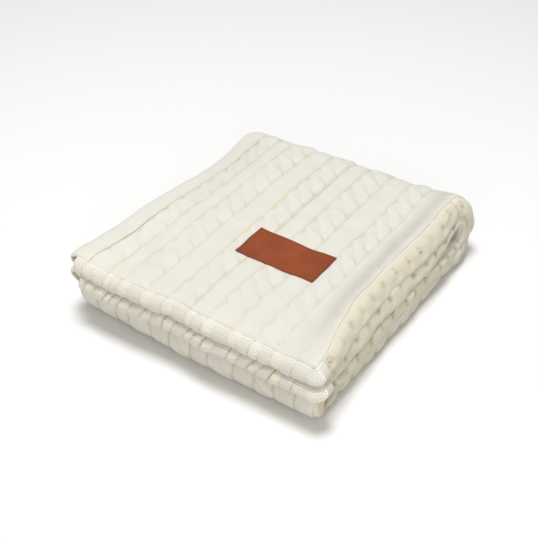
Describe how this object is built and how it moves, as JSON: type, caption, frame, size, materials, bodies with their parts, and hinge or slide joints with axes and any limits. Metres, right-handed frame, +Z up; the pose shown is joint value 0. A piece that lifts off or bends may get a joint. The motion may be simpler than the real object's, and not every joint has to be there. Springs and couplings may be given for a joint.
{
  "type": "folded throw blanket",
  "caption": "Cable-knit throw blanket folded into a neat rectangular pile, with ribbed hems, smooth knitted side edges and a plain stitched leather patch on top.",
  "frame": {"origin": "on the surface the folded throw lies on, under the middle of its bounding box", "axes": "+X across the knitted columns, towards the side where the cloth's smooth free edge shows; +Y along the columns, from the ribbed ends to the folded far side; +Z up"},
  "size_m": [0.3264, 0.387, 0.0882],
  "materials": {
    "cream_knit": "soft matt cable knit, cream",
    "cream_knit_reverse": "soft matt reverse side of the cable knit, cream in shade",
    "smooth_knit_edge": "smooth matt plain knit, cream",
    "rib_knit": "matt rib knit, cream",
    "brown_leather": "smooth satin leather, reddish brown",
    "sewing_thread": "matt sewing thread, dark brown"
  },
  "bodies": {
    "root": {"knit_ply_1": "cream_knit", "knit_ply_2": "cream_knit", "knit_ply_3": "cream_knit", "knit_ply_4": "cream_knit", "knit_side_fold_1": "cream_knit", "knit_side_fold_2": "cream_knit_reverse", "knit_side_fold_3": "cream_knit", "smooth_edge_outer": "smooth_knit_edge", "smooth_edge_inner": "smooth_knit_edge", "rib_hem_upper": "rib_knit", "rib_hem_lower": "rib_knit", "leather_patch": "brown_leather", "patch_stitching": "sewing_thread"}
  },
  "joints": []
}
